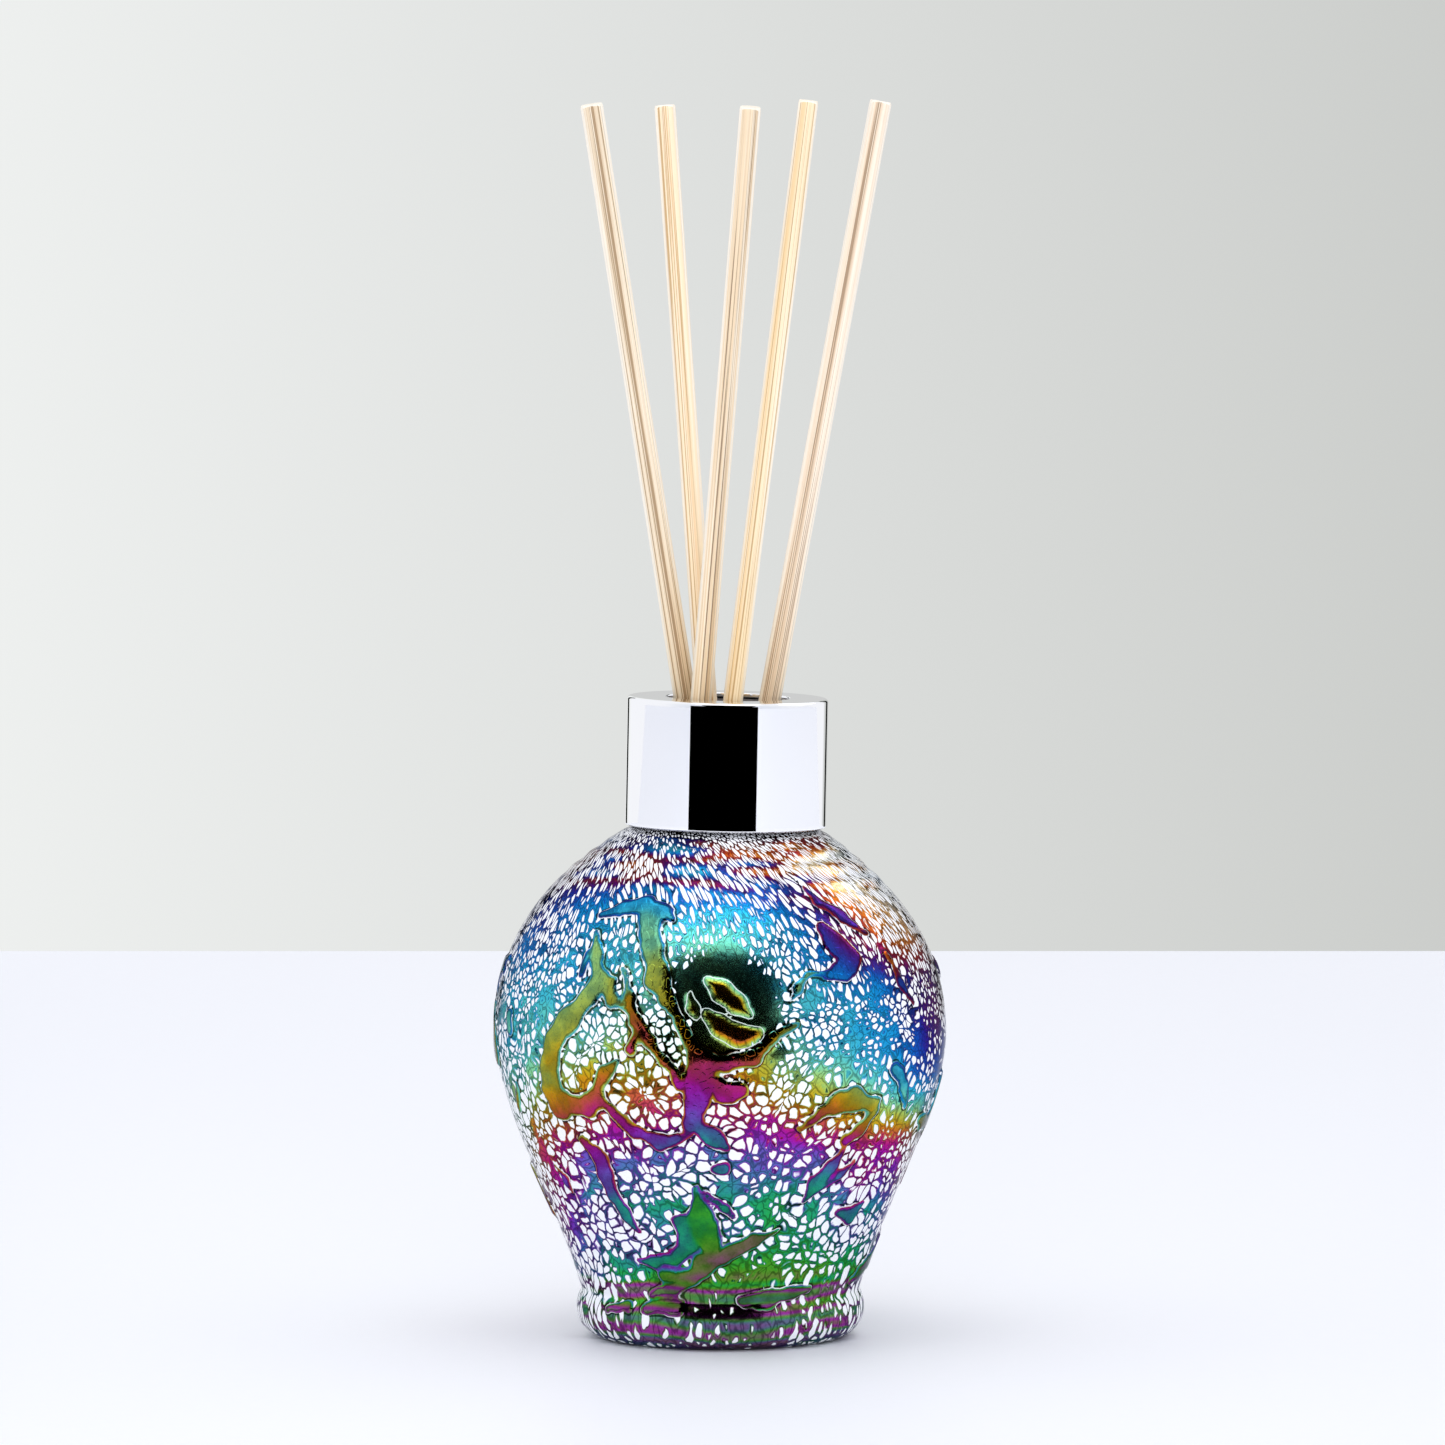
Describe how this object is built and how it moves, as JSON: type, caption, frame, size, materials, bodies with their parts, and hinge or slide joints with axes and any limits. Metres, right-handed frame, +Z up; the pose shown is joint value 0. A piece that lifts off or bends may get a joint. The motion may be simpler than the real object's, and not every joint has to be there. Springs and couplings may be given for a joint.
{
  "type": "reed diffuser",
  "caption": "Baluster-shaped glass reed diffuser with an iridescent crackle finish, a screw-on chromed collar and loose scent reeds.",
  "frame": {"origin": "centre of the foot's contact plane, on the surface that the bottle stands on", "axes": "+Z up through the belly's centre; the front with the main lustre blobs faces -Y; +X to the right as seen from the front"},
  "size_m": [0.0752, 0.0752, 0.2065],
  "materials": {
    "iridescent_glass": "glossy opal white glass under an iridescent metallic crackle network",
    "ferrule_metal": "plain turned, satin",
    "insert_plastic": "moulded polypropylene, grey",
    "chromed_collar": "mirror-bright chrome plating",
    "washer_foam": "closed-cell foam",
    "reed_1_wood": "bare rattan, fine grain along the length",
    "reed_2_wood": "bare rattan, fine grain along the length",
    "reed_3_wood": "bare rattan, fine grain along the length",
    "reed_4_wood": "bare rattan, fine grain along the length",
    "reed_5_wood": "bare rattan, fine grain along the length"
  },
  "bodies": {
    "bottle": {"glass_bottle": "iridescent_glass", "neck_ferrule": "ferrule_metal"},
    "washer": {"collar_washer": "washer_foam"},
    "collar": {"collar_shell": "chromed_collar", "collar_insert": "insert_plastic"},
    "reed_body_1": {"reed_1": "reed_1_wood"},
    "reed_body_2": {"reed_2": "reed_2_wood"},
    "reed_body_3": {"reed_3": "reed_3_wood"},
    "reed_body_4": {"reed_4": "reed_4_wood"},
    "reed_body_5": {"reed_5": "reed_5_wood"}
  },
  "joints": [
    {"name": "collar_rise", "type": "slide", "parent": "bottle", "child": "washer", "axis": [0.0192, 0, 0.9998], "range_m": [0, 0.0053]},
    {"name": "collar_turn", "type": "hinge", "parent": "washer", "child": "collar", "pos_m": [0.0008, 0, 0.0855], "axis": [0.0192, 0, 0.9998], "range_deg": [0, 450]},
    {"name": "reed_1_pull", "type": "slide", "parent": "bottle", "child": "reed_body_1", "axis": [-0.1539, -0.0774, 0.985], "range_m": [0, 0.11]},
    {"name": "reed_2_pull", "type": "slide", "parent": "bottle", "child": "reed_body_2", "axis": [-0.0698, 0.0576, 0.9959], "range_m": [0, 0.11]},
    {"name": "reed_3_pull", "type": "slide", "parent": "bottle", "child": "reed_body_3", "axis": [0.0823, -0.1167, 0.9898], "range_m": [0, 0.11]},
    {"name": "reed_4_pull", "type": "slide", "parent": "bottle", "child": "reed_body_4", "axis": [0.1243, -0.0413, 0.9914], "range_m": [0, 0.11]},
    {"name": "reed_5_pull", "type": "slide", "parent": "bottle", "child": "reed_body_5", "axis": [0.1819, 0.0029, 0.9833], "range_m": [0, 0.11]}
  ],
  "couplings": [
    {"joint": "collar_rise", "follows": "collar_turn", "m_per_rad": 0.0006737}
  ]
}
